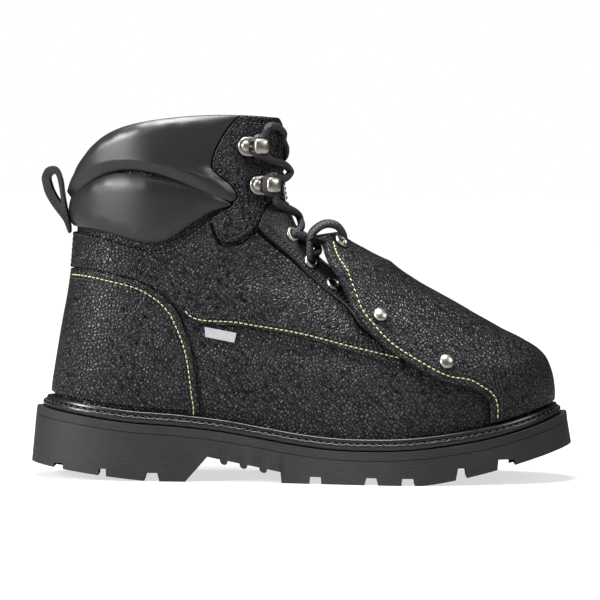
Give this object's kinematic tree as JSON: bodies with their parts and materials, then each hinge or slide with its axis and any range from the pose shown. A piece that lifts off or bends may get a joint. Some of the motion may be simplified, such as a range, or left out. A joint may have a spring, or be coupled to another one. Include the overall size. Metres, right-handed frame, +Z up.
{
  "type": "metatarsal guard boot",
  "caption": "Black leather safety boot with padded collar, lace and hooks, pull loop, lugged rubber sole and a stiff outer guard over the toe and instep.",
  "frame": {"origin": "centre of the boot's bounding box, on the ground under the sole", "axes": "+X towards the toe, +Y towards the medial side, +Z up; the lateral side faces -Y"},
  "size_m": [0.3104, 0.11, 0.2072],
  "materials": {
    "leather": "pebbled full grain, satin",
    "smooth_leather": "smooth, satin",
    "collar_leather": "soft padded, satin",
    "tread_rubber": "matte",
    "midsole_rubber": "matte, buffed",
    "welt_rubber": "satin",
    "insole_cloth": "matte",
    "webbing": "woven, slight sheen",
    "tag_cloth": "woven, matte",
    "lace_cord": "round braid",
    "nickel": "polished nickel"
  },
  "bodies": {
    "root": {"upper": "leather", "outsole": "tread_rubber", "midsole": "midsole_rubber", "welt": "welt_rubber", "insole": "insole_cloth", "tongue": "smooth_leather", "metatarsal_guard": "leather", "heel_counter": "leather", "quarter_lateral": "leather", "quarter_medial": "leather", "eyelet_facing_lateral": "smooth_leather", "eyelet_facing_medial": "smooth_leather", "hook_facing_lateral": "leather", "hook_facing_medial": "leather", "collar_top_pad": "collar_leather", "collar_lower_pad": "collar_leather", "backstrap": "leather", "pull_loop": "webbing", "side_tag": "tag_cloth", "lace": "lace_cord", "guard_tie": "lace_cord", "eyelet_lateral_1": "nickel", "eyelet_medial_1": "nickel", "eyelet_lateral_2": "nickel", "eyelet_medial_2": "nickel", "eyelet_lateral_3": "nickel", "eyelet_medial_3": "nickel", "hook_lateral_1": "nickel", "guard_rivet_lateral_1": "nickel", "hook_medial_1": "nickel", "guard_rivet_medial_1": "nickel", "hook_lateral_2": "nickel", "guard_rivet_lateral_2": "nickel", "hook_medial_2": "nickel", "guard_rivet_medial_2": "nickel", "guard_eyelet_lateral": "nickel", "guard_eyelet_medial": "nickel"}
  },
  "joints": []
}
